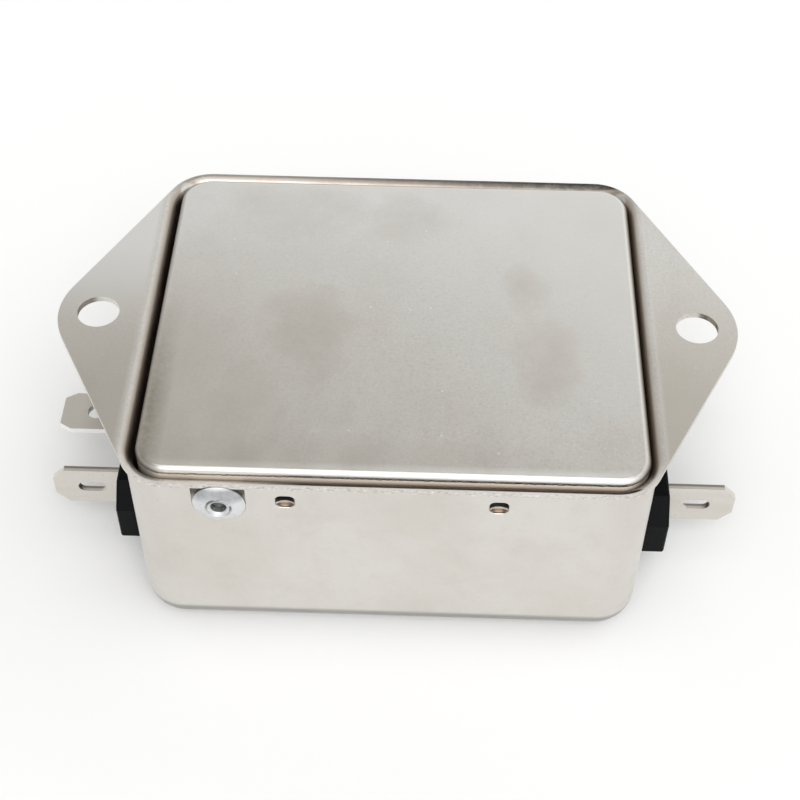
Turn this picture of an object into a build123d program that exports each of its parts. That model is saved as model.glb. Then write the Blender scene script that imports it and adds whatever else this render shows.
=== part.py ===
from build123d import *
from math import acos, asin, atan2, cos, degrees, hypot, radians, sin, sqrt
import os

# Single-phase EMI line filter in a drawn steel can. It lies on the closed face of the can, with the
# flange and the cover up. X runs along its length, line end on the left, and Z is 0 at the closed face.

# Drawn can
sheet = 0.8
can_length = 62.3
can_width = 52.8
lid_room = 10.5
corner_radius = 5.2
floor_radius = 4.4
flange_bend = 0.8
rim_overhang = 0.6

# Mounting ears
hole_from_end = 6.35
hole_diameter = 5.3
ear_reach = 11.35
ear_tip_radius = 9.3

# Cover, a drawn pan pressed into the mouth of the can
cover_sheet = 0.6
cover_end_gap = 0.4
cover_side_gap = 0.2
cover_proud = 0.5
cover_depth = 8.3
cover_corner = 3.9
cover_edge = 0.8
cover_shift = 0.25

# Lance joints between the long walls and the cover's skirt
lance_width = 2.2
lance_slot_height = 2.0
lance_corner = 0.7
lance_lip = 0.2
lance_strip_height = 0.7
lance_strip_sheet = 0.5
lance_depth = 0.55
lance_clearance = 0.25
lance_drop = 3.72
front_lance_left_from_rivet = 7.7
front_lance_right_from_end = 18.4
back_lance_from_end = 18.4

# Blind rivet on the front wall
rivet_from_end = 11.4
rivet_drop = 4.32
rivet_diameter = 3.2
rivet_head_diameter = 6.2
rivet_head_height = 1.1
rivet_rim = 0.25
rivet_ring_diameter = 2.9
rivet_ring_width = 0.3
rivet_tool_diameter = 7.8
rivet_pocket_clearance = 0.05
rivet_hole_clearance = 0.05
rivet_bulb_diameter = 4.6
rivet_bulb_length = 3.0
mandrel_diameter = 1.8
mandrel_clearance = 0.05
mandrel_break_depth = 0.9
mandrel_neck_diameter = 1.2
mandrel_neck_length = 0.45
mandrel_head_diameter = 2.9
mandrel_head_length = 1.4

# Terminal blocks
block_stand = 4.05
block_side_room = 9.4
block_base = 5.55
block_face_height = 5.25
block_chamfer = 2.8
block_edge = 0.35
block_foot_edge = 0.4
block_flange = 1.6
block_flange_margin = 1.7
block_window_clearance = 0.15

# Push-on tabs, 6.3 by 0.8
tab_width = 6.3
tab_thickness = 0.8
tab_clear = 8.9
tab_rise = 3.8
tab_inset = 5.35
tab_tip_length = 1.6
tab_tip_drop = 1.7
tab_slot_length = 3.7
tab_slot_width = 1.8
tab_slot_from_tip = 4.95
tab_fit = 0.05
tab_leg_width = 3.0
tab_leg_gap = 0.3
tab_pin_width = 1.2

# Earth tab, lying flat
earth_clear = 9.8
earth_rise = 4.85
earth_tip_length = 1.5
earth_tip_drop = 0.9
earth_hole_diameter = 2.5
earth_hole_from_tip = 4.6
earth_bend = 0.4

# Circuit board
board_end_gap = 1.35
board_side_gap = 2.1
board_sheet = 1.6
board_underside = 17.5
board_corner = 3.0
pin_above_board = 1.4
pin_hole_clearance = 0.1
solder_height = 1.0
solder_radius = 1.3
solder_top_margin = 0.15

# Common-mode choke
choke_offset = 3.0
core_outer = 22.0
core_inner = 12.0
choke_floor_gap = 3.2
core_edge = 0.8
wire = 1.2
turns = 11
turn_step = 13.75
winding_gap = 0.05
ring_chamfer_share = 0.7
choke_base_sheet = 1.5
choke_base_gap = 0.2
choke_base_end_margin = 2.5
choke_base_side_margin = 1.5
divider_sheet = 1.6
divider_gap = 0.2

# Capacitors and resistor
x_cap_length = 18.0
x_cap_thickness = 9.0
x_cap_floor_gap = 1.9
x_cap_edge = 0.8
x_cap_gap = 1.3
x_cap_lead_pitch = 15.0
x_cap_lead = 0.8
y_cap_diameter = 9.0
y_cap_thickness = 4.0
y_cap_edge = 1.2
y_cap_gap = 3.3
y_cap_from_side = 8.5
y_cap_drop = 1.5
y_cap_lead_pitch = 5.0
thin_lead = 0.7
resistor_from_end = 9.0
resistor_from_side = 7.0
resistor_length = 9.0
resistor_diameter = 3.2
resistor_waist = 2.6
resistor_cap_length = 1.8
resistor_lead_pitch = 14.0
resistor_drop = 2.5
resistor_bend = 1.0

# Earth link and insulation
link_wire = 1.0
link_drop = 1.3
link_inset = 3.0
link_bend = 1.0
film = 0.3
film_side_gap = 0.8
liner_end_gap = 7.0
liner_over_board = 0.9

# One overrun for every cutting tool
overrun = 2.0

# Places worked out from the sizes above
wall_in_x = can_length/2 - sheet
wall_in_y = can_width/2 - sheet
hole_pitch = can_length + 2*hole_from_end
ear_span = can_length + 2*ear_reach
board_length = 2*(wall_in_x - board_end_gap)
board_width = 2*(wall_in_y - board_side_gap)
board_top = board_underside + board_sheet
pin_top = board_top + pin_above_board
flange_height = board_top + lid_room
cover_length = 2*(wall_in_x - cover_end_gap)
cover_width = 2*(wall_in_y - cover_side_gap)
cover_top = flange_height + cover_proud
cover_foot = cover_top - cover_depth
skirt_y = cover_width/2
rivet_x = rivet_from_end - can_length/2
rivet_z = flange_height - rivet_drop
pocket_floor_y = -skirt_y - sheet
pocket_radius = rivet_head_diameter/2 + rivet_pocket_clearance
block_reach = can_length/2 + block_stand
block_width = can_width - 2*block_side_room
block_top = block_base + block_face_height + block_chamfer
tab_reach = block_reach + tab_clear
tab_level = block_base + tab_rise
tab_y = block_width/2 - tab_inset
leg_outer_x = wall_in_x - block_flange - tab_leg_gap
leg_inner_x = leg_outer_x - tab_leg_width
pin_x = (leg_outer_x + leg_inner_x)/2
earth_reach = block_reach + earth_clear
earth_top = block_base + earth_rise
link_x = -(board_length/2 - link_inset)
liner_inside = sheet + film
winding_top = board_underside - choke_base_sheet - choke_base_gap
core_height = winding_top - liner_inside - choke_floor_gap - 2*(wire + winding_gap)
core_z = winding_top - wire - winding_gap - core_height/2
lead_radius = core_outer/2 + winding_gap + wire/2
half_sweep = turn_step*(turns - 1)/2
x_cap_offset = leg_inner_x - x_cap_gap - x_cap_thickness/2
x_cap_height = board_underside - liner_inside - x_cap_floor_gap
y_cap_offset = leg_inner_x - y_cap_gap - y_cap_thickness/2
y_cap_spread = board_width/2 - y_cap_from_side
resistor_offset = board_length/2 - resistor_from_end
resistor_spread = board_width/2 - resistor_from_side
lance_z = flange_height - lance_drop
front_lances = [rivet_x + front_lance_left_from_rivet, can_length/2 - front_lance_right_from_end]
back_lances = [s*(can_length/2 - back_lance_from_end) for s in (-1, 1)]
tab_pins = [(sx*pin_x, sy*tab_y) for sx in (-1, 1) for sy in (-1, 1)]
x_cap_pins = [(-x_cap_offset, s*x_cap_lead_pitch/2) for s in (-1, 1)]
y_cap_pins = [(y_cap_offset, side*y_cap_spread + s*y_cap_lead_pitch/2) for side in (-1, 1) for s in (-1, 1)]
resistor_pins = [(-resistor_offset + s*resistor_lead_pitch/2, resistor_spread) for s in (-1, 1)]
choke_pins = [
    (choke_offset + lead_radius*cos(radians(mid + s*half_sweep)), lead_radius*sin(radians(mid + s*half_sweep)))
    for mid in (90, -90) for s in (-1, 1)
]
link_pins = [(link_x, 0)]


def rounded_box(length, width, low, high, corner):
    """Upright box with rounded upright edges, centred on the Z axis."""
    outline = RectangleRounded(length, width, corner)
    return Pos(0, 0, low)*extrude(outline, high - low)


def loop_edges(solid, level, length, width):
    """Edges at one level that lie within a rectangle of this size."""
    reach = sheet/4
    corner = Vector(length/2 + reach, width/2 + reach, 0)
    boxes = [(e, e.bounding_box()) for e in solid.edges().filter_by_position(Axis.Z, level - reach, level + reach)]
    return [
        e for e, b in boxes
        if max(-b.min.X, b.max.X) < corner.X and max(-b.min.Y, b.max.Y) < corner.Y
    ]


def trim_outline():
    """Edge to which the drawn flange is trimmed: straight long rims, corners, and a diamond ear each end."""
    corner_x = can_length/2 - corner_radius
    corner_y = can_width/2 - corner_radius
    corner_r = corner_radius + rim_overhang
    tip_x = ear_span/2 - ear_tip_radius
    run = hypot(corner_x - tip_x, corner_y)
    slope = degrees(atan2(corner_y, corner_x - tip_x) - acos((ear_tip_radius - corner_r)/run))
    with BuildSketch() as outline:
        with BuildLine():
            rim = Line((0, corner_y + corner_r), (corner_x, corner_y + corner_r))
            bend = CenterArc((corner_x, corner_y), corner_r, 90, slope - 90)
            tip = CenterArc((tip_x, 0), ear_tip_radius, slope, -slope)
            Line(bend @ 1, tip @ 0)
            mirror(about=Plane.XZ)
            mirror(about=Plane.YZ)
        make_face()
    return outline.sketch


def block_outline(grow):
    """Section of a terminal block's nose, seen along X, grown by a clearance."""
    half = block_width/2 + grow
    low = block_base - grow
    shoulder = block_base + block_face_height + grow*(sqrt(2) - 1)
    top = block_top + grow
    ridge = half - (top - shoulder)
    return Polyline(
        (-half, low), (half, low), (half, shoulder), (ridge, top), (-ridge, top), (-half, shoulder), close=True
    )


def lance_slot(x, side, grow):
    """Cutter for one lance through a long wall and what lies close behind it, grown by a clearance."""
    outline = RectangleRounded(lance_width + 2*grow, lance_slot_height + 2*grow, lance_corner + grow)
    tool = extrude(outline, 2*sheet + lance_depth, both=True)
    return Pos(x, side*can_width/2, lance_z)*Rot(90, 0, 0)*tool


def lance_lip_edges(can, x, side):
    """Outer edge of one lance slot."""
    wall_y = side*can_width/2
    on_wall = can.edges().filter_by_position(Axis.Y, wall_y - lance_lip/2, wall_y + lance_lip/2)
    return [e for e in on_wall if hypot(e.center().X - x, e.center().Z - lance_z) < lance_width]


def lance_strip(x, side):
    """Strip of wall metal along the slot's lower edge, stretched inwards; side is -1 on the front wall."""
    half = lance_width/2
    thickness = lance_strip_sheet
    with BuildSketch() as section:
        with BuildLine():
            outer = ThreePointArc((-half, -lance_lip), (0, -lance_depth), (half, -lance_lip))
            inner = ThreePointArc(
                (-half, -lance_lip - thickness), (0, -lance_depth - thickness), (half, -lance_lip - thickness)
            )
            Line(outer @ 0, inner @ 0)
            Line(outer @ 1, inner @ 1)
        make_face()
    strip = extrude(section.sketch, lance_strip_height)
    turned = Rot(0, 0, 180)*strip if side < 0 else strip
    return Pos(x, side*can_width/2, lance_z - lance_slot_height/2)*turned


def pocket_tool(radius, near_y, far_y, top):
    """U-shaped block on the rivet's axis, straight-sided above it, from near_y to far_y."""
    lower = Pos(rivet_x, (near_y + far_y)/2, rivet_z)*Rot(90, 0, 0)*Cylinder(radius, far_y - near_y)
    upper = Pos(rivet_x, (near_y + far_y)/2, (rivet_z + top)/2)*Box(2*radius, far_y - near_y, top - rivet_z)
    return lower + upper


def pocket_boss():
    """Inner face of the pressed rivet pocket, rounded at its top into the mouth of the can."""
    inside_y = pocket_floor_y + sheet
    top = flange_height - flange_bend
    boss = pocket_tool(pocket_radius - sheet/4, -can_width/2, inside_y, top)
    top_edge = boss.edges().filter_by(Axis.X).sort_by_distance((rivet_x, inside_y, top))[0]
    return fillet(top_edge, sheet)


def make_can():
    """Deep-drawn can: walls, closed face and flange in one sheet, trimmed, pierced and lanced."""
    underside = flange_height - sheet
    body = rounded_box(can_length, can_width, 0, flange_height, corner_radius)
    body = fillet(loop_edges(body, 0, can_length, can_width), floor_radius)
    blank = Pos(0, 0, underside)*extrude(
        Rectangle(ear_span + 2*overrun, can_width + 2*(corner_radius + overrun)), sheet
    )
    drawn = body + blank
    drawn = fillet(loop_edges(drawn, underside, can_length, can_width), flange_bend)
    cavity = rounded_box(
        2*wall_in_x, 2*wall_in_y, sheet, flange_height + overrun, corner_radius - sheet
    )
    cavity = fillet(loop_edges(cavity, sheet, 2*wall_in_x, 2*wall_in_y), floor_radius - sheet)
    drawn = drawn - cavity
    drawn = fillet(loop_edges(drawn, flange_height, 2*wall_in_x, 2*wall_in_y), flange_bend + sheet)
    can = drawn & extrude(trim_outline(), flange_height + overrun)
    for sx in (-1, 1):
        hole = Cylinder(hole_diameter/2, 2*sheet + overrun)
        can -= Pos(sx*hole_pitch/2, 0, flange_height - sheet/2)*hole
        window = extrude(make_face(Plane.YZ*block_outline(block_window_clearance)), can_length)
        can -= window if sx > 0 else mirror(window, about=Plane.YZ)
    can += pocket_boss()
    can -= pocket_tool(pocket_radius, -can_width/2 - overrun, pocket_floor_y, underside)
    tool_mark = Rot(90, 0, 0)*Cylinder(rivet_tool_diameter/2, overrun)
    can -= Pos(rivet_x, -can_width/2 - overrun/2, rivet_z)*tool_mark
    rivet_hole = Cylinder(rivet_diameter/2 + rivet_hole_clearance, 2*overrun + 2*sheet)
    can -= Pos(rivet_x, pocket_floor_y, rivet_z)*Rot(90, 0, 0)*rivet_hole
    for side, places in ((-1, front_lances), (1, back_lances)):
        for x in places:
            can -= lance_slot(x, side, 0)
            can = fillet(lance_lip_edges(can, x, side), lance_lip)
            can += lance_strip(x, side)
    return can


def make_cover():
    """Shallow pan drawn from thinner sheet, its skirt down inside the can, windowed for the lances."""
    outer = rounded_box(cover_length, cover_width, cover_foot, cover_top, cover_corner)
    outer = fillet(loop_edges(outer, cover_top, cover_length, cover_width), cover_edge)
    inner = rounded_box(
        cover_length - 2*cover_sheet, cover_width - 2*cover_sheet,
        cover_foot - overrun, cover_top - cover_sheet, cover_corner - cover_sheet
    )
    inner_top = cover_top - cover_sheet
    inner = fillet(
        loop_edges(inner, inner_top, cover_length - 2*cover_sheet, cover_width - 2*cover_sheet),
        cover_edge - cover_sheet
    )
    cover = Pos(cover_shift, 0, 0)*(outer - inner)
    rivet_hole = Cylinder(rivet_diameter/2 + rivet_hole_clearance, 2*overrun)
    cover -= Pos(rivet_x, -skirt_y, rivet_z)*Rot(90, 0, 0)*rivet_hole
    for side, places in ((-1, front_lances), (1, back_lances)):
        for x in places:
            cover -= lance_slot(x, side, lance_clearance)
    return cover


def make_rivet_body():
    """Set blind rivet: domed head with a ring mark outside, sleeve through wall and skirt, bulb inside."""
    bore = mandrel_diameter/2 + mandrel_clearance
    shank = rivet_diameter/2
    head = rivet_head_diameter/2
    bulb = rivet_bulb_diameter/2
    grip = sheet + cover_sheet
    end = grip + rivet_bulb_length
    lip = bore + rivet_rim
    rise = rivet_head_height - rivet_rim
    dome = (head**2 + rise**2)/(2*rise)
    dome_y = dome - rivet_head_height
    middle = (lip + head)/2
    crown = dome_y - sqrt(dome**2 - lip**2)
    with BuildSketch() as section:
        with BuildLine():
            Polyline((lip, crown), (bore, crown + rivet_rim), (bore, end), (shank, end))
            ThreePointArc((shank, end), (bulb, grip + rivet_bulb_length/2), (shank, grip))
            Polyline((shank, grip), (shank, 0), (head, 0), (head, -rivet_rim))
            ThreePointArc((head, -rivet_rim), (middle, dome_y - sqrt(dome**2 - middle**2)), (lip, crown))
        make_face()
    turned = revolve(section.sketch, Axis.Y, 360)
    ring = rivet_ring_diameter/2
    ring_mark = Rot(90, 0, 0)*Torus(ring, rivet_ring_width/2)
    turned -= Pos(0, dome_y - sqrt(dome**2 - ring**2), 0)*ring_mark
    return Pos(rivet_x, pocket_floor_y, rivet_z)*turned


def make_rivet_mandrel():
    """Steel mandrel, broken off at its neck below the dome, its head seated on the bulb's end."""
    stem = mandrel_diameter/2
    neck = mandrel_neck_diameter/2
    head = mandrel_head_diameter/2
    low = mandrel_break_depth - rivet_head_height
    end = sheet + cover_sheet + rivet_bulb_length
    nose = (head**2 + mandrel_head_length**2)/(2*mandrel_head_length)
    nose_y = end + mandrel_head_length - nose
    with BuildSketch() as section:
        with BuildLine():
            Polyline((0, low), (neck, low), (stem, low + mandrel_neck_length), (stem, end), (head, end))
            ThreePointArc(
                (head, end), (head/2, nose_y + sqrt(nose**2 - (head/2)**2)), (0, end + mandrel_head_length)
            )
            Line((0, end + mandrel_head_length), (0, low))
        make_face()
    turned = revolve(section.sketch, Axis.Y, 360)
    return Pos(rivet_x, pocket_floor_y, rivet_z)*turned


def make_block(with_earth):
    """Terminal block for the right end: chamfered nose through the wall, flange behind it, tab slots."""
    nose_length = block_reach - wall_in_x
    nose = extrude(make_face(Plane.YZ*block_outline(0)), nose_length)
    nose = Pos(wall_in_x, 0, 0)*nose
    face_edges = nose.faces().sort_by(Axis.X)[-1].edges()
    nose = fillet(face_edges, block_edge)
    flange_low = block_base - block_flange_margin/2
    flange_high = block_top + block_flange_margin
    flange = Pos(wall_in_x - block_flange/2, 0, (flange_low + flange_high)/2)*Box(
        block_flange, block_width + 2*block_flange_margin, flange_high - flange_low
    )
    flange = fillet(flange.edges().filter_by(Axis.X), block_foot_edge)
    block = nose + flange
    slot_x = (block_reach + wall_in_x - block_flange)/2
    through = block_reach - wall_in_x + block_flange + 2*overrun
    for sy in (-1, 1):
        slot = Box(through, tab_thickness + 2*tab_fit, tab_width + 2*tab_fit)
        block -= Pos(slot_x, sy*tab_y, tab_level)*slot
    if with_earth:
        slot = Box(through, tab_width + 2*tab_fit, tab_thickness + 2*tab_fit)
        block -= Pos(slot_x, 0, earth_top - tab_thickness/2)*slot
        notch_low = earth_top - tab_thickness - tab_fit
        notch = Box(2*block_flange, tab_width + 2*tab_fit, flange_high + overrun - notch_low)
        block -= Pos(wall_in_x - block_flange, 0, (flange_high + overrun + notch_low)/2)*notch
        relief = Box(2*(earth_bend + tab_fit), tab_width + 2*tab_fit, 2*(earth_bend + tab_fit))
        block -= Pos(wall_in_x, 0, earth_top)*relief
    return block


def make_tab():
    """Flat stamping for the right end: push-on blade outside, leg and solder pin inside."""
    low = tab_level - tab_width/2
    high = tab_level + tab_width/2
    with BuildSketch(Plane.XZ) as blank:
        with BuildLine():
            Polyline(
                (tab_reach - tab_tip_length, low), (tab_reach, low + tab_tip_drop),
                (tab_reach, high - tab_tip_drop), (tab_reach - tab_tip_length, high),
                (leg_outer_x, high), (leg_outer_x, board_underside),
                (pin_x + tab_pin_width/2, board_underside), (pin_x + tab_pin_width/2, pin_top),
                (pin_x - tab_pin_width/2, pin_top), (pin_x - tab_pin_width/2, board_underside),
                (leg_inner_x, board_underside), (leg_inner_x, low), close=True
            )
        make_face()
        with Locations((tab_reach - tab_slot_from_tip, tab_level)):
            SlotOverall(tab_slot_length, tab_slot_width, mode=Mode.SUBTRACT)
    return extrude(blank.sketch, tab_thickness/2, both=True)


def make_earth_tab():
    """Flat-lying blade whose inner end turns up and lies on the end wall, where it is welded."""
    low = earth_top - tab_thickness
    with BuildSketch(Plane.XZ) as section:
        with BuildLine():
            Polyline(
                (-earth_reach, low), (-wall_in_x + tab_thickness, low),
                (-wall_in_x + tab_thickness, pin_top), (-wall_in_x, pin_top),
                (-wall_in_x, earth_top), (-earth_reach, earth_top), close=True
            )
        make_face()
    tab = extrude(section.sketch, tab_width/2, both=True)
    inner_bend = tab.edges().filter_by(Axis.Y).sort_by_distance((-wall_in_x, 0, earth_top))[0]
    tab = fillet(inner_bend, earth_bend)
    outer_bend = tab.edges().filter_by(Axis.Y).sort_by_distance((-wall_in_x + tab_thickness, 0, low))[0]
    tab = fillet(outer_bend, earth_bend + tab_thickness)
    tab -= Pos(-earth_reach + earth_hole_from_tip, 0, earth_top)*Cylinder(earth_hole_diameter/2, 4*tab_thickness)
    for sy in (-1, 1):
        side = sy*tab_width/2
        corner = make_face(Polyline(
            (-earth_reach - overrun, side + sy*overrun), (-earth_reach + earth_tip_length, side + sy*overrun),
            (-earth_reach + earth_tip_length, side), (-earth_reach, side - sy*earth_tip_drop),
            (-earth_reach - overrun, side - sy*earth_tip_drop), close=True
        ))
        tab -= Pos(0, 0, low - overrun)*extrude(corner, tab_thickness + 2*overrun)
    return tab


def round_pins():
    """Places and radii of the round leads that come up through the board."""
    pins = [(x, y, x_cap_lead/2) for x, y in x_cap_pins]
    pins += [(x, y, thin_lead/2) for x, y in y_cap_pins + resistor_pins]
    pins += [(x, y, wire/2) for x, y in choke_pins]
    pins += [(x, y, link_wire/2) for x, y in link_pins]
    return pins


def make_circuit_board():
    """Paper laminate board with a hole for each lead and a slot for each tab pin."""
    board = rounded_box(board_length, board_width, board_underside, board_top, board_corner)
    for x, y, radius in round_pins():
        board -= Pos(x, y, board_underside + board_sheet/2)*Cylinder(radius + pin_hole_clearance, 2*board_sheet)
    for x, y in tab_pins:
        slot = Box(tab_pin_width + 2*pin_hole_clearance, tab_thickness + 2*pin_hole_clearance, 2*board_sheet)
        board -= Pos(x, y, board_underside + board_sheet/2)*slot
    return board


def make_solder_joints():
    """One solder fillet round each lead, on top of the board."""
    joints = []
    for x, y, radius in round_pins():
        cone = Cone(solder_radius, radius + solder_top_margin, solder_height)
        joints.append(Pos(x, y, board_top + solder_height/2)*(cone - Cylinder(radius, 2*solder_height)))
    for x, y in tab_pins:
        cone = Cone(solder_radius, tab_pin_width/2 + solder_top_margin, solder_height)
        pin = Box(tab_pin_width, tab_thickness, 2*solder_height)
        joints.append(Pos(x, y, board_top + solder_height/2)*(cone - pin))
    return Compound(children=[Solid(j.solids()[0].wrapped) for j in joints])


def make_choke_core():
    """Coated ferrite ring, lying flat, with its sharp edges taken off."""
    ring = Cylinder(core_outer/2, core_height) - Cylinder(core_inner/2, 2*core_height)
    ring = chamfer(ring.edges().filter_by(GeomType.CIRCLE), core_edge)
    return Pos(choke_offset, 0, core_z)*ring


def make_choke_holder():
    """Moulded base between choke and board, with the divider that stands between the windings."""
    base_z = board_underside - choke_base_sheet/2
    base_length = core_outer + 2*choke_base_end_margin
    base_width = core_outer + 2*choke_base_side_margin
    holder = Pos(choke_offset, 0, base_z)*Box(base_length, base_width, choke_base_sheet)
    holder = fillet(holder.edges().filter_by(Axis.Z), choke_base_sheet)
    divider_length = core_inner - 2*divider_gap
    divider_low = core_z - core_height/2 - wire
    divider_high = board_underside - choke_base_sheet
    divider = Box(divider_length, divider_sheet, divider_high - divider_low)
    holder += Pos(choke_offset, 0, (divider_high + divider_low)/2)*divider
    for x, y in choke_pins:
        holder -= Pos(x, y, base_z)*Cylinder(wire/2 + pin_hole_clearance, 2*choke_base_sheet)
    return holder


def turn():
    """One turn of wire round the core's section, in the XZ plane, at angle zero."""
    section_width = (core_outer - core_inner)/2 + 2*winding_gap
    section_height = core_height + 2*winding_gap
    outer = Box(section_width + 2*wire, wire, section_height + 2*wire)
    outer = chamfer(outer.edges().filter_by(Axis.Y), wire*ring_chamfer_share)
    ring = outer - Box(section_width, 2*wire, section_height)
    return Pos((core_outer + core_inner)/4, 0, 0)*ring


def make_winding(middle):
    """Half of the choke's turns, side by side in the ring's bore, and its two leads up to the board."""
    start = middle - half_sweep
    placed = [Rot(0, 0, start + k*turn_step)*turn() for k in range(turns)]
    winding = placed[0].fuse(*placed[1:])
    winding = Pos(choke_offset, 0, core_z)*winding
    for angle in (start, start + 2*half_sweep):
        x = choke_offset + lead_radius*cos(radians(angle))
        y = lead_radius*sin(radians(angle))
        winding += Pos(x, y, (core_z + pin_top)/2)*Cylinder(wire/2, pin_top - core_z)
    return winding


def make_x_capacitor():
    """Boxed film capacitor hanging from the board on two leads."""
    body = Box(x_cap_thickness, x_cap_length, x_cap_height)
    body = chamfer(body.edges(), x_cap_edge)
    part = Pos(-x_cap_offset, 0, board_underside - x_cap_height/2)*body
    lead_low = board_underside - x_cap_edge
    for x, y in x_cap_pins:
        part += Pos(x, y, (lead_low + pin_top)/2)*Cylinder(x_cap_lead/2, pin_top - lead_low)
    return part


def make_y_capacitor(side):
    """Coated ceramic disc standing on edge under the board, on two leads."""
    disc = Rot(0, 90, 0)*Cylinder(y_cap_diameter/2, y_cap_thickness)
    disc = chamfer(disc.edges().filter_by(GeomType.CIRCLE), y_cap_edge)
    centre_z = board_underside - y_cap_drop - y_cap_diameter/2
    part = Pos(y_cap_offset, side*y_cap_spread, centre_z)*disc
    for s in (-1, 1):
        y = side*y_cap_spread + s*y_cap_lead_pitch/2
        part += Pos(y_cap_offset, y, (centre_z + pin_top)/2)*Cylinder(thin_lead/2, pin_top - centre_z)
    return part


def make_bleeder_resistor():
    """Film resistor lying under the board, its leads bent up through it."""
    half = resistor_length/2
    big = resistor_diameter/2
    waist = resistor_waist/2
    with BuildSketch(Plane.XY) as section:
        with BuildLine():
            Polyline(
                (-half, 0), (-half, big), (-half + resistor_cap_length, big),
                (-half + resistor_cap_length + big - waist, waist),
                (half - resistor_cap_length - big + waist, waist),
                (half - resistor_cap_length, big), (half, big), (half, 0), close=True
            )
        make_face()
    body = revolve(section.sketch, Axis.X, 360)
    z = board_underside - resistor_drop
    path = FilletPolyline(
        (-resistor_lead_pitch/2, 0, pin_top - z), (-resistor_lead_pitch/2, 0, 0),
        (resistor_lead_pitch/2, 0, 0), (resistor_lead_pitch/2, 0, pin_top - z), radius=resistor_bend
    )
    lead = sweep(Plane(path @ 0, z_dir=path % 0)*Circle(thin_lead/2), path=path)
    return Pos(-resistor_offset, resistor_spread, z)*(body + lead)


def make_earth_link():
    """Bare wire from its board hole down, and across to the earth tab's leg."""
    z = board_underside - link_drop
    path = FilletPolyline(
        (link_x, 0, pin_top), (link_x, 0, z), (-wall_in_x + tab_thickness, 0, z), radius=link_bend
    )
    return sweep(Plane(path @ 0, z_dir=path % 0)*Circle(link_wire/2), path=path)


def make_insulating_sheet():
    """Film on the solder side, trapped under the cover."""
    return rounded_box(
        cover_length - 2*film_side_gap, cover_width - 2*cover_sheet - 2*film_side_gap,
        pin_top, pin_top + film, board_corner
    )


def make_insulating_liner():
    """Film bent to a channel that lines the closed face and both long walls."""
    bend = floor_radius - sheet
    half = wall_in_y
    liner_top = board_top + liner_over_board
    with BuildSketch(Plane.YZ) as section:
        with BuildLine():
            FilletPolyline(
                (-half, liner_top), (-half, sheet), (half, sheet), (half, liner_top), radius=bend
            )
            FilletPolyline(
                (-half + film, liner_top), (-half + film, sheet + film),
                (half - film, sheet + film), (half - film, liner_top), radius=bend - film
            )
            Line((-half, liner_top), (-half + film, liner_top))
            Line((half, liner_top), (half - film, liner_top))
        make_face()
    return extrude(section.sketch, wall_in_x - liner_end_gap + sheet, both=True)


def main():
    os.makedirs("parts", exist_ok=True)
    tab = make_tab()
    left_tab = mirror(tab, about=Plane.YZ)
    nodes = {
        "can": make_can(),
        "cover": make_cover(),
        "rivet_body": make_rivet_body(),
        "rivet_mandrel": make_rivet_mandrel(),
        "line_terminal_block": mirror(make_block(True), about=Plane.YZ),
        "load_terminal_block": make_block(False),
        "line_tab_live": Pos(0, -tab_y, 0)*left_tab,
        "line_tab_neutral": Pos(0, tab_y, 0)*left_tab,
        "load_tab_live": Pos(0, -tab_y, 0)*tab,
        "load_tab_neutral": Pos(0, tab_y, 0)*tab,
        "earth_tab": make_earth_tab(),
        "circuit_board": make_circuit_board(),
        "solder_joints": make_solder_joints(),
        "choke_core": make_choke_core(),
        "choke_holder": make_choke_holder(),
        "live_winding": make_winding(-90),
        "neutral_winding": make_winding(90),
        "x_capacitor": make_x_capacitor(),
        "y_capacitor_live": make_y_capacitor(-1),
        "y_capacitor_neutral": make_y_capacitor(1),
        "bleeder_resistor": make_bleeder_resistor(),
        "earth_link": make_earth_link(),
        "insulating_sheet": make_insulating_sheet(),
        "insulating_liner": make_insulating_liner(),
    }
    for name, shape in nodes.items():
        export_step(shape, f"parts/{name}.step")


main()
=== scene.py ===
import bpy
import bmesh
from mathutils import Matrix, Vector


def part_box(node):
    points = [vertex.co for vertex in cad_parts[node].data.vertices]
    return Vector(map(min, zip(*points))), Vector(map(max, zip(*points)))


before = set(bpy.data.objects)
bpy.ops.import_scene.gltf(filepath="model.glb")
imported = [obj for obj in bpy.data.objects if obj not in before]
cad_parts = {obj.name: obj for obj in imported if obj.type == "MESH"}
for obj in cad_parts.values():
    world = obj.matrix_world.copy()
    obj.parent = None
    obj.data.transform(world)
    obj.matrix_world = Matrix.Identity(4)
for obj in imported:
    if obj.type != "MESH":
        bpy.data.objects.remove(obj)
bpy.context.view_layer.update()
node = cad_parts
scene = bpy.context.scene
scene.view_settings.view_transform = "Standard"

# The camera stands in front of the long wall with the rivet and looks down on the cover.
# Its place, direction and lens were fitted to points and edges of the photograph.
camera_data = bpy.data.cameras.new("camera")
camera_data.sensor_width = 36.0
camera_data.lens = 68.643
camera_data.clip_start = 0.01
camera_data.clip_end = 20.0
camera = bpy.data.objects.new("camera", camera_data)
scene.collection.objects.link(camera)
camera_place = Vector((0.003948, -0.133876, 0.166034))
camera_right = Vector((0.99945, 0.03261, 0.00602))
camera_up = Vector((-0.02843, 0.74891, 0.66206))
camera_back = camera_right.cross(camera_up)
camera.matrix_world = Matrix.LocRotScale(
    camera_place,
    Matrix((camera_right, camera_up, camera_back)).transposed().to_quaternion(),
    None,
)
scene.camera = camera

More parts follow.
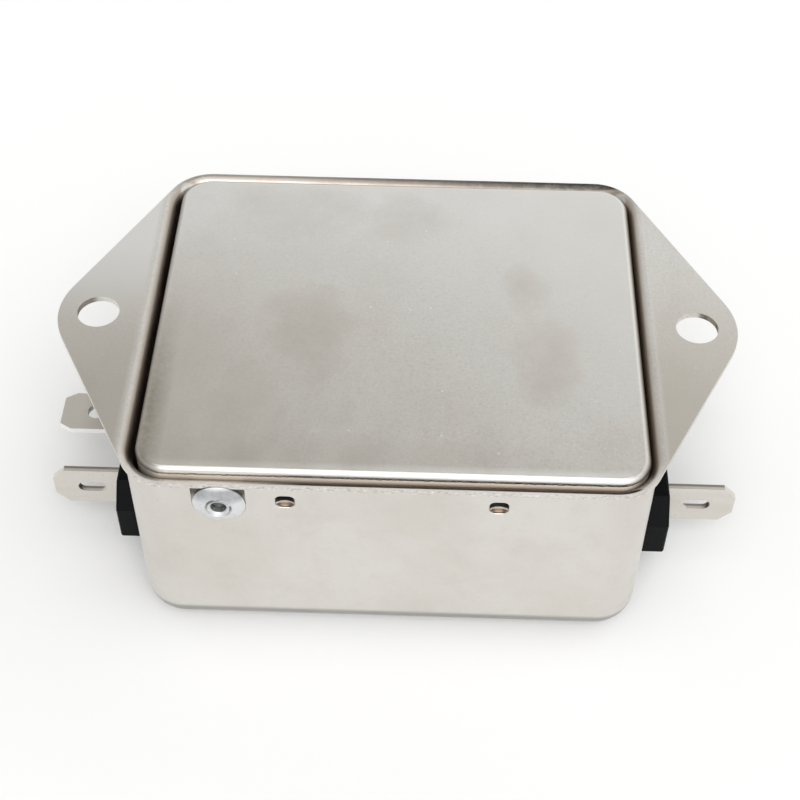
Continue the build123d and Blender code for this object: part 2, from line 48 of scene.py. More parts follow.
# The filter lies in a white tent: bright all round up to about 45 degrees, grey overhead, and
# brighter on the right. Satin nickel mirrors those falls in brightness, which shades its flat faces.
tent_white = (1.02, 1.03, 1.03, 1)
tent_grey = (0.41, 0.40, 0.38, 1)
white_up_to = 0.68
grey_from = 0.80
grey_lean_left = -0.12
strength_left = 0.78
strength_right = 1.08
world = bpy.data.worlds.new("tent")
scene.world = world
world.use_nodes = True
tent = world.node_tree
tent.nodes.clear()
tent_place = tent.nodes.new("ShaderNodeTexCoord")
tent_height = tent.nodes.new("ShaderNodeSeparateXYZ")
tent.links.new(tent_place.outputs["Generated"], tent_height.inputs[0])
tent_ramp = tent.nodes.new("ShaderNodeValToRGB")
tent_ramp.color_ramp.elements[0].position = white_up_to
tent_ramp.color_ramp.elements[0].color = tent_white
tent_ramp.color_ramp.elements[1].position = grey_from
tent_ramp.color_ramp.elements[1].color = tent_grey
tent_lean = tent.nodes.new("ShaderNodeMath")
tent_lean.operation = "MULTIPLY_ADD"
tent_lean.inputs[1].default_value = grey_lean_left
tent.links.new(tent_height.outputs["X"], tent_lean.inputs[0])
tent.links.new(tent_height.outputs["Z"], tent_lean.inputs[2])
tent.links.new(tent_lean.outputs[0], tent_ramp.inputs[0])
tent_side = tent.nodes.new("ShaderNodeMapRange")
tent_side.inputs["From Min"].default_value = -0.85
tent_side.inputs["From Max"].default_value = 0.45
tent_side.inputs["To Min"].default_value = strength_left
tent_side.inputs["To Max"].default_value = strength_right
tent.links.new(tent_height.outputs["X"], tent_side.inputs["Value"])
tent_light = tent.nodes.new("ShaderNodeBackground")
tent.links.new(tent_ramp.outputs[0], tent_light.inputs["Color"])
tent.links.new(tent_side.outputs["Result"], tent_light.inputs["Strength"])
tent_end = tent.nodes.new("ShaderNodeOutputWorld")
tent.links.new(tent_light.outputs[0], tent_end.inputs["Surface"])


def softbox(name, place, aim, width, height, power):
    """Rectangular lamp that faces a point."""
    light = bpy.data.lights.new(name, "AREA")
    light.shape = "RECTANGLE"
    light.size = width
    light.size_y = height
    light.energy = power
    lamp = bpy.data.objects.new(name, light)
    scene.collection.objects.link(lamp)
    lamp.location = place
    lamp.rotation_mode = "QUATERNION"
    lamp.rotation_quaternion = (Vector(aim) - Vector(place)).to_track_quat("-Z", "Y")


softbox("top_softbox", (0.02, -0.20, 0.75), (0.02, -0.20, 0), 0.55, 0.7, 1.5)
softbox("front_softbox", (0.05, -0.55, 0.75), (0, 0, 0), 0.7, 0.45, 2.95)

# The table under it is white board, which keeps the soft shadow, and painted shade makes it a little
# darker in front. The camera and shiny surfaces see it a touch brighter than its own colour, so that
# it ends in white.
table_front_painted_shade = (0.785, 0.785, 0.788, 1)
table_back = (0.86, 0.86, 0.86, 1)
table_shading_reach = 0.10
table_lift = 0.07
table_mesh = bpy.data.meshes.new("table")
shape = bmesh.new()
bmesh.ops.create_grid(shape, x_segments=1, y_segments=1, size=4.0)
shape.to_mesh(table_mesh)
shape.free()
table = bpy.data.objects.new("table", table_mesh)
scene.collection.objects.link(table)
board_white = bpy.data.materials.new("table_white")
board_white.use_nodes = True
paint = board_white.node_tree
paint.nodes.clear()
paint_base = paint.nodes.new("ShaderNodeBsdfDiffuse")
paint_place = paint.nodes.new("ShaderNodeTexCoord")
paint_split = paint.nodes.new("ShaderNodeSeparateXYZ")
paint_depth = paint.nodes.new("ShaderNodeMapRange")
paint_depth.inputs["From Min"].default_value = -table_shading_reach
paint_depth.inputs["From Max"].default_value = table_shading_reach
paint_shade = paint.nodes.new("ShaderNodeMix")
paint_shade.data_type = "RGBA"
paint_shade.inputs["A"].default_value = table_front_painted_shade
paint_shade.inputs["B"].default_value = table_back
paint.links.new(paint_place.outputs["Object"], paint_split.inputs[0])
paint.links.new(paint_split.outputs["Y"], paint_depth.inputs["Value"])
paint.links.new(paint_depth.outputs["Result"], paint_shade.inputs["Factor"])
paint.links.new(paint_shade.outputs["Result"], paint_base.inputs["Color"])
paint_lift = paint.nodes.new("ShaderNodeEmission")
paint_lift.inputs["Color"].default_value = (1, 1, 1, 1)
paint_path = paint.nodes.new("ShaderNodeLightPath")
paint_seen = paint.nodes.new("ShaderNodeMath")
paint_seen.operation = "MAXIMUM"
paint_seen_too = paint.nodes.new("ShaderNodeMath")
paint_seen_too.operation = "MAXIMUM"
paint_strength = paint.nodes.new("ShaderNodeMath")
paint_strength.operation = "MULTIPLY"
paint_strength.inputs[1].default_value = table_lift
paint_sum = paint.nodes.new("ShaderNodeAddShader")
paint_end = paint.nodes.new("ShaderNodeOutputMaterial")
paint.links.new(paint_path.outputs["Is Camera Ray"], paint_seen.inputs[0])
paint.links.new(paint_path.outputs["Is Glossy Ray"], paint_seen.inputs[1])
paint.links.new(paint_seen.outputs[0], paint_seen_too.inputs[0])
paint.links.new(paint_path.outputs["Is Transmission Ray"], paint_seen_too.inputs[1])
paint.links.new(paint_seen_too.outputs[0], paint_strength.inputs[0])
paint.links.new(paint_strength.outputs[0], paint_lift.inputs["Strength"])
paint.links.new(paint_base.outputs[0], paint_sum.inputs[0])
paint.links.new(paint_lift.outputs[0], paint_sum.inputs[1])
paint.links.new(paint_sum.outputs[0], paint_end.inputs["Surface"])
table_mesh.materials.append(board_white)

# The can is drawn from one sheet of steel and plated with dull nickel. Its flange is trimmed to two
# ears, and handling has left clouds, specks and fine scratches in the plate. Painted shade darkens
# its mouth.
mm = 0.001


class Finish:
    """A material under construction: a surface shader and the patterns that feed it."""

    def __init__(self, name, color, metallic=0.0, roughness=0.5):
        self.material = bpy.data.materials.new(name)
        self.material.use_nodes = True
        self.tree = self.material.node_tree
        self.surface = self.tree.nodes["Principled BSDF"]
        self.surface.inputs["Base Color"].default_value = (*color, 1)
        self.surface.inputs["Metallic"].default_value = metallic
        self.surface.inputs["Roughness"].default_value = roughness
        self.place = self.tree.nodes.new("ShaderNodeTexCoord").outputs["Object"]
        self.relief = None

    def noise(self, scale, detail=3.0, rough=0.55, stretch=None, turn=0.0, shift=(0, 0, 0)):
        """Cloudy pattern, finer as its scale per metre grows."""
        pattern = self.tree.nodes.new("ShaderNodeTexNoise")
        pattern.inputs["Scale"].default_value = scale
        pattern.inputs["Detail"].default_value = detail
        pattern.inputs["Roughness"].default_value = rough
        mapping = self.tree.nodes.new("ShaderNodeMapping")
        mapping.inputs["Scale"].default_value = stretch or (1, 1, 1)
        mapping.inputs["Rotation"].default_value = (0, 0, turn)
        mapping.inputs["Location"].default_value = shift
        self.tree.links.new(self.place, mapping.inputs["Vector"])
        self.tree.links.new(mapping.outputs[0], pattern.inputs["Vector"])
        return pattern.outputs["Fac"]

    def dots(self, scale, size, share, shift=(0, 0, 0)):
        """Small round spots strewn at random; share is the part of the cells that get one."""
        cells = self.tree.nodes.new("ShaderNodeTexVoronoi")
        cells.inputs["Scale"].default_value = scale
        mapping = self.tree.nodes.new("ShaderNodeMapping")
        mapping.inputs["Location"].default_value = shift
        self.tree.links.new(self.place, mapping.inputs["Vector"])
        self.tree.links.new(mapping.outputs[0], cells.inputs["Vector"])
        spot = self.ramp(cells.outputs["Distance"], size, size*0.5)
        lot = self.tree.nodes.new("ShaderNodeSeparateColor")
        self.tree.links.new(cells.outputs["Color"], lot.inputs[0])
        chosen = self.combine(lot.outputs["Red"], share, "LESS_THAN")
        return self.where(spot, chosen)

    def scratches(self, scale, stretch, turn, width, shift=(0, 0, 0)):
        """Thin broken lines: the middle level of a stretched noise, kept in patches."""
        lines = self.noise(scale, detail=1.0, rough=0.4, stretch=stretch, turn=turn, shift=shift)
        thin = self.ramp(self.away(lines, 0.5), width, 0.0)
        patches = self.ramp(self.noise(scale*0.6, detail=1.0, shift=shift), 0.62, 0.67)
        return self.where(thin, patches)

    def axis(self, letter, surface=False):
        """Place along one axis of the part in metres, or the surface's slope along it."""
        source = self.place
        if surface:
            source = self.tree.nodes.new("ShaderNodeTexCoord").outputs["Normal"]
        split = self.tree.nodes.new("ShaderNodeSeparateXYZ")
        self.tree.links.new(source, split.inputs[0])
        return split.outputs[letter]

    def ramp(self, source, low, high, low_value=0.0, high_value=1.0):
        """The pattern's part between two levels, spread over a range of values."""
        spread = self.tree.nodes.new("ShaderNodeMapRange")
        spread.inputs["From Min"].default_value = low
        spread.inputs["From Max"].default_value = high
        spread.inputs["To Min"].default_value = low_value
        spread.inputs["To Max"].default_value = high_value
        self.tree.links.new(source, spread.inputs["Value"])
        return spread.outputs["Result"]

    def at(self, letter, start, end, start_value=0.0, end_value=1.0):
        """Mask that changes from one place to another along an axis of the part."""
        return self.ramp(self.axis(letter), start, end, start_value, end_value)

    def facing(self, letter, start, end, start_value=0.0, end_value=1.0):
        """Mask by which way the surface faces: 1 is straight along the axis and 0 is across it."""
        return self.ramp(self.axis(letter, surface=True), start, end, start_value, end_value)

    def combine(self, first, second, kind="ADD"):
        """Two patterns, or a pattern and a number, in one sum."""
        both = self.tree.nodes.new("ShaderNodeMath")
        both.operation = kind
        for socket, source in zip(both.inputs, (first, second)):
            if isinstance(source, (int, float)):
                socket.default_value = source
            else:
                self.tree.links.new(source, socket)
        return both.outputs[0]

    def away(self, source, middle=0.0):
        """How far a pattern is from a value, either way."""
        return self.combine(self.combine(source, middle, "SUBTRACT"), 0.0, "ABSOLUTE")

    def where(self, *masks):
        """Mask of what all of these masks share."""
        shared = masks[0]
        for mask in masks[1:]:
            shared = self.combine(shared, mask, "MULTIPLY")
        return shared

    def tint(self, amount, color):
        """Blends another colour into the base colour where the pattern is strong."""
        mix = self.tree.nodes.new("ShaderNodeMix")
        mix.data_type = "RGBA"
        base = self.surface.inputs["Base Color"]
        if base.is_linked:
            self.tree.links.new(base.links[0].from_socket, mix.inputs["A"])
        else:
            mix.inputs["A"].default_value = base.default_value
        mix.inputs["B"].default_value = (*color, 1)
        self.tree.links.new(amount, mix.inputs["Factor"])
        self.tree.links.new(mix.outputs["Result"], base)

    def gloss(self, source):
        """Roughness that follows a pattern."""
        self.tree.links.new(source, self.surface.inputs["Roughness"])

    def metal(self, source):
        """Share of bare metal that follows a pattern."""
        self.tree.links.new(source, self.surface.inputs["Metallic"])

    def bump(self, source, depth, strength=1.0):
        """Small relief, its depth in metres."""
        relief = self.tree.nodes.new("ShaderNodeBump")
        relief.inputs["Distance"].default_value = depth
        relief.inputs["Strength"].default_value = strength
        self.tree.links.new(source, relief.inputs["Height"])
        if self.relief:
            self.tree.links.new(self.relief.outputs[0], relief.inputs["Normal"])
        self.tree.links.new(relief.outputs[0], self.surface.inputs["Normal"])
        self.relief = relief


def nickel(name, shift, stain):
    """Dull nickel plate: brown clouds as strong as stain, then grain, sparks, pits and scratches."""
    plate = Finish(name, (0.71, 0.69, 0.652), metallic=1.0)
    clouds = plate.noise(60, detail=2.5, rough=0.5, shift=shift)
    plate.tint(plate.ramp(clouds, 0.48, 0.66, 0.0, stain), (0.575, 0.52, 0.455))
    smears = plate.noise(160, detail=5, rough=0.65, stretch=(1, 0.5, 1), shift=shift)
    plate.tint(plate.ramp(smears, 0.50, 0.72, 0.0, stain*0.7), (0.57, 0.52, 0.455))
    blots = plate.noise(420, detail=4, rough=0.7, shift=shift)
    plate.tint(plate.ramp(blots, 0.50, 0.72, 0.0, stain*0.6), (0.56, 0.53, 0.475))
    grains = plate.noise(2600, detail=3, rough=0.75, shift=shift)
    flat_up = plate.facing("Z", 0.5, 0.8, 0.15, 1.0)
    dark_grains = plate.ramp(grains, 0.52, 0.72, 0.0, 0.50)
    plate.tint(plate.where(dark_grains, flat_up), (0.52, 0.485, 0.435))
    light_grains = plate.ramp(grains, 0.46, 0.28, 0.0, 0.50)
    plate.tint(plate.where(light_grains, flat_up), (0.82, 0.81, 0.79))
    sparks = plate.ramp(plate.dots(1200, 0.22, 0.026, shift), 0, 1, 0, 0.8)
    plate.tint(plate.where(sparks, flat_up), (0.98, 0.97, 0.95))
    pits = plate.dots(1300, 0.16, 0.004, (shift[0] + 3, shift[1], shift[2]))
    plate.tint(plate.ramp(pits, 0, 1, 0, 0.6), (0.28, 0.24, 0.20))
    lines = plate.scratches(260, (1, 0.03, 1), 1.25, 0.004, shift)
    plate.tint(plate.ramp(lines, 0, 1, 0, 0.30), (0.90, 0.89, 0.87))
    plate.gloss(plate.ramp(smears, 0.3, 0.7, 0.28, 0.40))
    plate.bump(plate.noise(2600, detail=2, rough=0.6), 0.012*mm, 0.35)
    plate.bump(plate.noise(70, detail=1.5, rough=0.4, shift=shift), 0.3*mm, 0.12)
    return plate


def wear(name, finish):
    """Gives a CAD node its finish."""
    for held in node[name].material_slots:
        held.link = "OBJECT"
        held.material = finish.material


flange_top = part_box("can")[1].z
inner_y = 25.6*mm
outer_y = 26.4*mm
inner_x = 30.3*mm
lances_end = 27.3*mm
can_plate = nickel("can_nickel", (0, 0, 0), 0.3)
speckle = can_plate.ramp(can_plate.noise(1100, detail=4, rough=0.7), 0.2, 0.55, 0.55, 1.0)
off_middle_x = can_plate.away(can_plate.axis("X"))
off_middle_y = can_plate.away(can_plate.axis("Y"))

# Painted shade darkens the faces deep inside the mouth that look up. It leaves out the lanced strips.
faces_up = can_plate.facing("Z", 0.02, 0.10)
gap_painted_shade_depth = can_plate.at("Z", flange_top - 1.2*mm, flange_top - 1.76*mm)
above_lances = can_plate.at("Z", lances_end, lances_end + 0.4*mm)
past_lances = can_plate.ramp(off_middle_x, inner_x - 0.7*mm, inner_x - 0.3*mm)
off_lances = can_plate.combine(above_lances, past_lances, "MAXIMUM")
can_plate.tint(can_plate.where(faces_up, gap_painted_shade_depth, off_lances, speckle), (0.07, 0.05, 0.04))

# Painted shade draws a dark line along the crest of the front bend, and a painted highlight brightens
# the wall below it. Painted shade tones the back wall and the end walls brown inside the mouth.
faces_back = can_plate.facing("Y", 0.10, 0.30)
crest_top = can_plate.at("Z", flange_top - 0.056*mm, flange_top - 0.104*mm)
crest_foot = can_plate.at("Z", flange_top - 0.592*mm, flange_top - 0.512*mm)
crest_wall = can_plate.at("Y", -inner_y, -inner_y - 0.3*mm)
crest_fade = can_plate.at("X", -20*mm, -10*mm, 0.1, 1.0)
# Painted shade: the dark line along the crest of the front bend.
crest = can_plate.where(crest_top, crest_foot, crest_wall, faces_back, crest_fade)
can_plate.tint(crest, (0.022, 0.009, 0.005))
# Painted highlight on the wall below the crest.
throat_top = can_plate.at("Z", flange_top - 0.592*mm, flange_top - 0.672*mm)
throat_painted_highlight = can_plate.at("Y", -inner_y + 0.4*mm, -inner_y + 0.1*mm)
can_plate.tint(can_plate.where(throat_top, throat_painted_highlight, faces_back), (0.97, 0.94, 0.90))
# Painted shade tones the back wall brown inside the mouth, and below it the end walls.
back_wall_painted_shade = can_plate.at("Y", inner_y - 0.6*mm, inner_y - 0.2*mm, 0.0, 0.9)
back_fade = can_plate.at("X", -16*mm, 8*mm, 0.68, 1.0)
faces_front = can_plate.facing("Y", -0.10, -0.30)
can_plate.tint(can_plate.where(back_wall_painted_shade, back_fade, faces_front), (0.30, 0.245, 0.20))
for side in (-1, 1):
    end_wall_painted_shade = can_plate.at("X", side*(inner_x - 0.3*mm), side*inner_x, 0.0, 0.8)
    faces_middle = can_plate.facing("X", -side*0.22, -side*0.55)
    can_plate.tint(can_plate.where(faces_middle, end_wall_painted_shade), (0.34, 0.28, 0.23))

# Behind the rivet's head the wall is pressed to a flat seat, whose corners dirt and painted shade
# keep dark. The slits of the lance joints show raw brown steel on the faces that were sheared,
# deepened with painted shade, and painted shade browns the front face of each lanced strip.
rivet_low, rivet_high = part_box("rivet_body")
rivet_x = (rivet_low.x + rivet_high.x)/2
seat_half = (rivet_high.x - rivet_low.x)/2*1.06
in_seat = can_plate.combine(can_plate.away(can_plate.axis("X"), rivet_x), seat_half, "LESS_THAN")
seat_floor = can_plate.at("Y", -outer_y + 0.04*mm, -outer_y + 0.16*mm)
seat_front = can_plate.at("Y", -24*mm, -25*mm)
seat_faces = can_plate.facing("Y", -0.5, -0.9)
seat = can_plate.where(in_seat, seat_floor, seat_front, seat_faces)
# Dirt and painted shade darken the upper corners of the seat.
seat_upper_dirt_and_shade = can_plate.at("Z", rivet_low.z + seat_half, rivet_high.z - seat_half*0.4)
can_plate.tint(can_plate.where(seat, seat_upper_dirt_and_shade), (0.12, 0.11, 0.10))
# A painted shadow line runs along the top of the seat, under the flange.
seat_edge_painted_shadow = can_plate.at("Z", rivet_high.z - seat_half*0.12, rivet_high.z)
can_plate.tint(can_plate.where(seat, seat_edge_painted_shadow), (0.03, 0.025, 0.02))
# The sheared faces that look up are raw steel, and painted shade deepens their brown.
below_mouth = can_plate.at("Z", flange_top - 1.8*mm, flange_top - 2.0*mm)
sheared = can_plate.facing("Z", 0.80, 0.95)
outer_half = can_plate.ramp(off_middle_y, outer_y - 0.35*mm, outer_y - 0.20*mm)
can_plate.tint(can_plate.where(below_mouth, sheared, outer_half), (0.10, 0.06, 0.035))
# Painted shade browns the front face of each lanced strip.
outward = can_plate.combine(can_plate.axis("Y"), can_plate.axis("Y", surface=True), "MULTIPLY")
strip_outside = can_plate.ramp(outward, 10*mm, 18*mm)
strip_sunk = can_plate.ramp(off_middle_y, outer_y - 0.06*mm, outer_y - 0.18*mm)
strip_foot = can_plate.at("Z", 24.8*mm, 24.9*mm)
strip_head = can_plate.at("Z", 25.30*mm, 25.15*mm)
strip_between = can_plate.ramp(off_middle_x, 20.0*mm, 19.5*mm)
strip = can_plate.where(strip_outside, strip_sunk, strip_foot, strip_head, strip_between)
can_plate.tint(strip, (0.24, 0.16, 0.10))

# The trimmed edge of the flange is rough and bright in spots, and painted shade darkens the back rim.
# The ears are toned with painted light and shade, and painted shade darkens the lower bend, on which
# the can stands, all round.
flange_sheet = 0.8*mm
upright = can_plate.ramp(can_plate.away(can_plate.axis("Z", surface=True)), 0.35, 0.2)
at_flange = can_plate.at("Z", flange_top - flange_sheet, flange_top - flange_sheet*0.9)
crumbs = can_plate.noise(1700, detail=4, rough=0.75, stretch=(1, 1, 1.6))
dark_crumbs = can_plate.ramp(crumbs, 0.52, 0.66, 0, 0.8)
can_plate.tint(can_plate.where(upright, at_flange, dark_crumbs), (0.40, 0.37, 0.33))
light_crumbs = can_plate.ramp(crumbs, 0.44, 0.34, 0, 0.7)
can_plate.tint(can_plate.where(upright, at_flange, light_crumbs), (0.98, 0.97, 0.95))
# Painted shade darkens the back rim, more towards the right.
back_rim_painted_shade = can_plate.at("Y", inner_y + 0.2*mm, inner_y + 0.6*mm)
rim_depth = can_plate.at("Z", flange_top - 0.80*mm, flange_top - 0.64*mm)
rim_growth = can_plate.at("X", -20*mm, 24*mm, 0.0, 0.95)
can_plate.tint(can_plate.where(back_rim_painted_shade, rim_depth, rim_growth, speckle), (0.05, 0.055, 0.055))
# Painted light pales the back of the left ear, and painted shade darkens both ears towards the front.
left_ear = can_plate.at("X", -31.8*mm, -32.5*mm)
ear_back_painted_light = can_plate.at("Y", -2*mm, 6*mm, 0.0, 0.95)
can_plate.tint(can_plate.where(left_ear, ear_back_painted_light), (0.80, 0.79, 0.765))
right_ear = can_plate.at("X", 31.8*mm, 32.5*mm)
ear_front_painted_shade = can_plate.at("Y", 12*mm, -12*mm, 0.0, 0.75)
ears = can_plate.combine(left_ear, right_ear)
can_plate.tint(can_plate.where(ears, ear_front_painted_shade), (0.53, 0.49, 0.43))
# Painted shade darkens the lower bend all round, less at its foot.
low_bend_painted_shade = can_plate.at("Z", 4.3*mm, 3.5*mm)
bend_foot = can_plate.at("Z", 1.3*mm, 2.6*mm, 0.35, 1.0)
can_plate.tint(can_plate.where(low_bend_painted_shade, bend_foot), (0.36, 0.35, 0.33))
wear("can", can_plate)

# The cover is a shallow pan drawn from thinner sheet, with the same plate. It is pushed into the
# can's mouth and held by the rivet and the lanced strips. Grime lies along its left edge, and painted
# light and shade tone its top and bends.
cover_low, cover_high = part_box("cover")
cover_bend = 0.8*mm
bend_end = cover_high.z - cover_bend
cover_plate = nickel("cover_nickel", (6, 6, 2), 0.22)
# Painted light makes the back of the top paler.
back_painted_light = cover_plate.at("Y", -4*mm, 20*mm, 0.0, 0.6)
cover_plate.tint(back_painted_light, (0.80, 0.79, 0.765))

# Eight soft stains have dried on it. Each is an ellipse with a wavering edge, given by its
# middle and its half sizes in millimetres, and how strong it is.
stains = (
    (-11.0, -2.7, 4.2, 6.2, 0.62),
    (-17.2, -18.0, 3.4, 8.0, 0.48),
    (16.3, 5.5, 2.6, 3.6, 0.85),
    (18.4, -7.0, 3.2, 6.0, 0.80),
    (-15.0, 19.5, 8.0, 4.0, 0.34),
    (0.6, 18.2, 5.0, 3.6, 0.34),
    (-26.2, -8.0, 5.0, 15.0, 0.34),
    (-1.0, -23.6, 19.0, 3.0, 0.40),
)
waver = cover_plate.noise(190, detail=4, rough=0.6, shift=(2, 4, 0))
waver = cover_plate.ramp(waver, 0.3, 0.7, -1.0, 1.0)
for stain_x, stain_y, half_x, half_y, strength in stains:
    off_x = cover_plate.combine(cover_plate.axis("X"), stain_x*mm, "SUBTRACT")
    off_x = cover_plate.combine(off_x, half_x*mm, "DIVIDE")
    off_y = cover_plate.combine(cover_plate.axis("Y"), stain_y*mm, "SUBTRACT")
    off_y = cover_plate.combine(off_y, half_y*mm, "DIVIDE")
    square_x = cover_plate.combine(off_x, 2.0, "POWER")
    square_y = cover_plate.combine(off_y, 2.0, "POWER")
    off_stain = cover_plate.combine(cover_plate.combine(square_x, square_y), waver)
    cover_plate.tint(cover_plate.ramp(off_stain, 2.1, -0.7, 0.0, strength), (0.54, 0.49, 0.43))

# A painted highlight brightens the front bend, and a ragged dark line of painted reflection ends it.
# The skirt below is only partly bare metal, pale partly as painted reflection, and painted shade
# darkens it with depth. Painted light and shade tone the other bends and two parts of the top.
cover_speckle = cover_plate.ramp(cover_plate.noise(900, detail=4, rough=0.7), 0.25, 0.6, 0.5, 1.0)
ragged = cover_plate.noise(1300, detail=3, rough=0.6)
ragged = cover_plate.ramp(ragged, 0.3, 0.7, -0.08*mm, 0.08*mm)
ragged_height = cover_plate.combine(cover_plate.axis("Z"), ragged)
bend_front = cover_plate.facing("Y", -0.35, -0.6)
# Painted highlight on the front bend.
bend_lit = cover_plate.ramp(ragged_height, bend_end + 0.68*mm, bend_end + 0.52*mm)
cover_plate.tint(cover_plate.where(bend_lit, bend_front), (0.82, 0.81, 0.785))
# Painted highlight on the flat top next to the front edge.
edge_lit = cover_plate.at("Y", cover_low.y + 1.8*mm, cover_low.y + 0.8*mm, 0.0, 0.6)
edge_flat = cover_plate.facing("Z", 0.6, 0.85)
cover_plate.tint(cover_plate.where(edge_lit, edge_flat), (0.98, 0.97, 0.95))
# A ragged dark line of painted reflection where the bend ends.
line_top = cover_plate.ramp(ragged_height, bend_end + 0.16*mm, bend_end + 0.10*mm)
line_foot = cover_plate.ramp(ragged_height, bend_end - 0.08*mm, bend_end - 0.02*mm)
cover_plate.tint(cover_plate.where(line_top, line_foot), (0.07, 0.03, 0.02))
# The skirt is mostly dull, and its pale beige is partly painted reflection.
below_bend = cover_plate.ramp(ragged_height, bend_end, bend_end - 0.05*mm)
skirt = cover_plate.where(below_bend, bend_front)
cover_plate.tint(skirt, (0.94, 0.86, 0.75))
cover_plate.metal(cover_plate.ramp(skirt, 0, 1, 1.0, 0.15))
# Painted shade darkens the skirt with depth.
skirt_depth_painted_shade = cover_plate.at("Z", bend_end - 0.3*mm, bend_end - 1.0*mm)
cover_plate.tint(skirt_depth_painted_shade, (0.20, 0.12, 0.06))
# Painted shade tones the back bend brown.
back_bend_painted_shade = cover_plate.facing("Y", 0.08, 0.30, 0.0, 0.85)
cover_plate.tint(back_bend_painted_shade, (0.46, 0.40, 0.34))
# Painted shade darkens the front left of the top, and painted light pales the back right.
left_part_painted_shade = cover_plate.at("X", 10*mm, -28*mm, 0.0, 0.5)
front_part = cover_plate.at("Y", 16*mm, -8*mm)
cover_plate.tint(cover_plate.where(left_part_painted_shade, front_part), (0.58, 0.54, 0.48))
right_part_painted_light = cover_plate.at("X", 4*mm, 28*mm, 0.0, 0.65)
back_part = cover_plate.at("Y", -20*mm, -4*mm)
cover_plate.tint(cover_plate.where(right_part_painted_light, back_part), (0.74, 0.725, 0.69))
# Painted shade darkens the left bend and, more, the right bend.
left_bend_painted_shade = cover_plate.facing("X", -0.15, -0.45, 0.0, 0.75)
cover_plate.tint(left_bend_painted_shade, (0.38, 0.365, 0.34))
right_bend_painted_shade = cover_plate.facing("X", 0.25, 0.70, 0.0, 0.92)
cover_plate.tint(right_bend_painted_shade, (0.24, 0.21, 0.17))
left_edge = cover_plate.at("X", cover_low.x + 3.4*mm, cover_low.x + 1.2*mm)
front_half = cover_plate.at("Y", 4*mm, -14*mm, 0.0, 0.75)
left_grime = cover_plate.where(left_edge, front_half, cover_speckle)
cover_plate.tint(left_grime, (0.30, 0.27, 0.22))
wear("cover", cover_plate)

# The blind rivet is plain aluminium, dull from setting, with the ring that the tool pressed into
# its head. Its steel mandrel broke off inside and is dark and torn.
groove_radius = 1.4*mm
rivet_z = (rivet_low.z + rivet_high.z)/2
rivet = Finish("rivet_aluminium", (0.74, 0.75, 0.755), metallic=1.0)
rivet.gloss(rivet.ramp(rivet.noise(1500, detail=3), 0.3, 0.7, 0.38, 0.55))
# Painted reflection: a dark band across the upper half of the head.
shade_foot = rivet.at("Z", rivet_z + 0.6*mm, rivet_z + 1.5*mm)
shade_top = rivet.at("Z", rivet_high.z - 0.3*mm, rivet_high.z - 0.6*mm)
shade_blots = rivet.ramp(rivet.noise(450, detail=3, rough=0.6), 0.3, 0.6, 0.35, 0.9)
rivet.tint(rivet.where(shade_foot, shade_top, shade_blots), (0.36, 0.36, 0.37))
from_axis_x = rivet.combine(rivet.combine(rivet.axis("X"), rivet_x, "SUBTRACT"), 2.0, "POWER")
from_axis_z = rivet.combine(rivet.combine(rivet.axis("Z"), rivet_z, "SUBTRACT"), 2.0, "POWER")
radius = rivet.combine(rivet.combine(from_axis_x, from_axis_z), 0.5, "POWER")
groove = rivet.ramp(rivet.away(radius, groove_radius), 0.15*mm, 0.06*mm)
groove_broken = rivet.ramp(rivet.noise(700, detail=3), 0.42, 0.55)
rivet.tint(rivet.where(groove, groove_broken), (0.20, 0.20, 0.21))
rivet.tint(rivet.ramp(rivet.noise(900, detail=4, rough=0.7), 0.5, 0.75, 0, 0.5), (0.50, 0.50, 0.51))
# Painted highlight along the top of the head.
rivet.tint(rivet.at("Z", rivet_high.z - 0.3*mm, rivet_high.z - 0.1*mm), (0.97, 0.97, 0.97))
rivet.bump(rivet.noise(2200, detail=3, rough=0.65), 0.02*mm, 0.4)
wear("rivet_body", rivet)
mandrel = Finish("mandrel_steel", (0.13, 0.125, 0.12), metallic=1.0, roughness=0.45)
mandrel.bump(mandrel.noise(3000, detail=3, rough=0.7), 0.08*mm, 0.7)
wear("rivet_mandrel", mandrel)

# The terminal blocks are moulded in black thermoplastic, one for each end wall, with the faint
# grain of the mould.
moulding = Finish("black_moulding", (0.003, 0.0034, 0.004))
moulding.surface.inputs["Specular IOR Level"].default_value = 0.07
moulding.gloss(moulding.ramp(moulding.noise(400, detail=4), 0.3, 0.7, 0.26, 0.40))
moulding.bump(moulding.noise(5000, detail=2), 0.006*mm, 0.4)
wear("line_terminal_block", moulding)
wear("load_terminal_block", moulding)


# The push-on tabs are stamped from plated brass, with rolled faces and sheared edges. The upright
# ones have a dark far edge on top. Painted shade darkens the earth tab towards the can, and a painted
# highlight brightens its front edge.
def stamped(name, color):
    """Plated strip: brown rolling marks, small stains and a faint grain."""
    metal = Finish(name, color, metallic=1.0)
    rolling = metal.noise(300, detail=3, stretch=(0.3, 1, 1.5))
    metal.tint(metal.ramp(rolling, 0.45, 0.75, 0.0, 0.3), (0.58, 0.54, 0.48))
    small_stains = metal.noise(1800, detail=3, rough=0.7)
    metal.tint(metal.ramp(small_stains, 0.6, 0.75, 0.0, 0.4), (0.46, 0.43, 0.39))
    metal.gloss(metal.ramp(rolling, 0.3, 0.7, 0.30, 0.42))
    metal.bump(metal.noise(2500, detail=2), 0.01*mm, 0.4)
    return metal


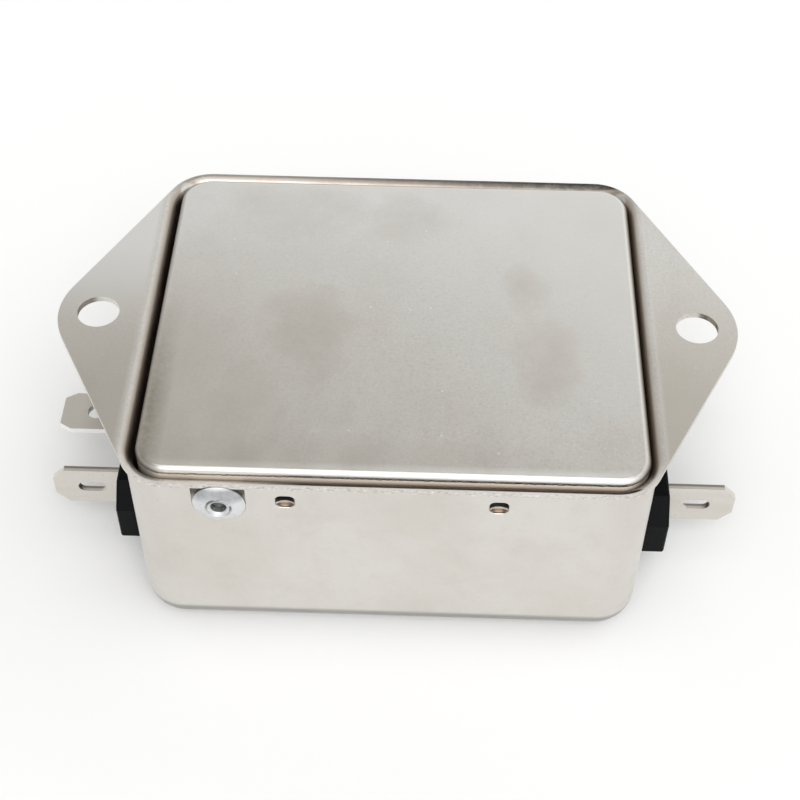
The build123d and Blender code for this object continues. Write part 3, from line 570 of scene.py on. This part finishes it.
tab_plate = stamped("tab_plate", (0.70, 0.67, 0.62))
tab_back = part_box("line_tab_live")[1].y
tab_top = tab_plate.facing("Z", 0.75, 0.95, 0.0, 0.85)
tab_far = tab_plate.at("Y", tab_back - 0.45*mm, tab_back - 0.3*mm, 0.12, 1.0)
tab_plate.tint(tab_plate.where(tab_top, tab_far), (0.22, 0.195, 0.17))
for name in ("line_tab_live", "line_tab_neutral", "load_tab_live", "load_tab_neutral"):
    wear(name, tab_plate)
earth_plate = stamped("earth_tab_plate", (0.66, 0.625, 0.57))
# Painted shade towards the can, and a painted highlight on the front edge.
earth_root_painted_shade = earth_plate.at("X", -42.5*mm, -36.5*mm, 0.0, 0.8)
earth_plate.tint(earth_root_painted_shade, (0.36, 0.325, 0.28))
earth_edge_painted_highlight = earth_plate.facing("Y", -0.4, -0.8)
earth_plate.tint(earth_edge_painted_highlight, (0.93, 0.92, 0.90))
wear("earth_tab", earth_plate)

# Inside is a laminate board with its solder joints, made as such filters have it, since the
# closed can shows none of it.
laminate = Finish("board_laminate", (0.52, 0.38, 0.20), roughness=0.6)
laminate.tint(laminate.ramp(laminate.noise(500, detail=5), 0.4, 0.7, 0, 0.5), (0.42, 0.29, 0.14))
laminate.bump(laminate.noise(3000), 0.02*mm, 0.4)
wear("circuit_board", laminate)
solder = Finish("solder", (0.66, 0.66, 0.65), metallic=1.0, roughness=0.28)
solder.bump(solder.noise(1800, detail=3), 0.03*mm, 0.5)
wear("solder_joints", solder)

# The choke is a coated ferrite ring with two windings of enamelled copper, on a moulded base
# that also divides them. The wire from the board to the earth tab has the same finish.
ferrite = Finish("ferrite_coating", (0.05, 0.17, 0.09), roughness=0.35)
ferrite.bump(ferrite.noise(900, detail=3), 0.05*mm, 0.5)
wear("choke_core", ferrite)
holder = Finish("holder_moulding", (0.03, 0.03, 0.032), roughness=0.5)
holder.bump(holder.noise(4000, detail=2), 0.01*mm, 0.4)
wear("choke_holder", holder)
enamel = Finish("copper_enamel", (0.50, 0.16, 0.05), metallic=0.8, roughness=0.25)
enamel.gloss(enamel.ramp(enamel.noise(700), 0.3, 0.7, 0.2, 0.35))
wear("live_winding", enamel)
wear("neutral_winding", enamel)
wear("earth_link", enamel)

# The capacitor across the line is a film type in a moulded box, and the two to earth are coated
# discs. The discharge resistor has a coating of its own.
film_box = Finish("capacitor_box", (0.66, 0.47, 0.07), roughness=0.38)
film_box.bump(film_box.noise(4000, detail=2), 0.01*mm, 0.4)
wear("x_capacitor", film_box)
disc_coating = Finish("disc_coating", (0.04, 0.14, 0.42), roughness=0.3)
disc_coating.bump(disc_coating.noise(600, detail=2), 0.1*mm, 0.4)
wear("y_capacitor_live", disc_coating)
wear("y_capacitor_neutral", disc_coating)
resistor_coating = Finish("resistor_coating", (0.52, 0.42, 0.24), roughness=0.4)
resistor_coating.bump(resistor_coating.noise(900, detail=2), 0.06*mm, 0.4)
wear("bleeder_resistor", resistor_coating)

# Two pieces of insulating film keep all that off the steel: a flat one under the cover, and one
# bent to a channel that lines the can.
film = Finish("insulating_film", (0.78, 0.76, 0.68), roughness=0.4)
film.bump(film.noise(800, detail=2), 0.03*mm, 0.3)
wear("insulating_sheet", film)
wear("insulating_liner", film)
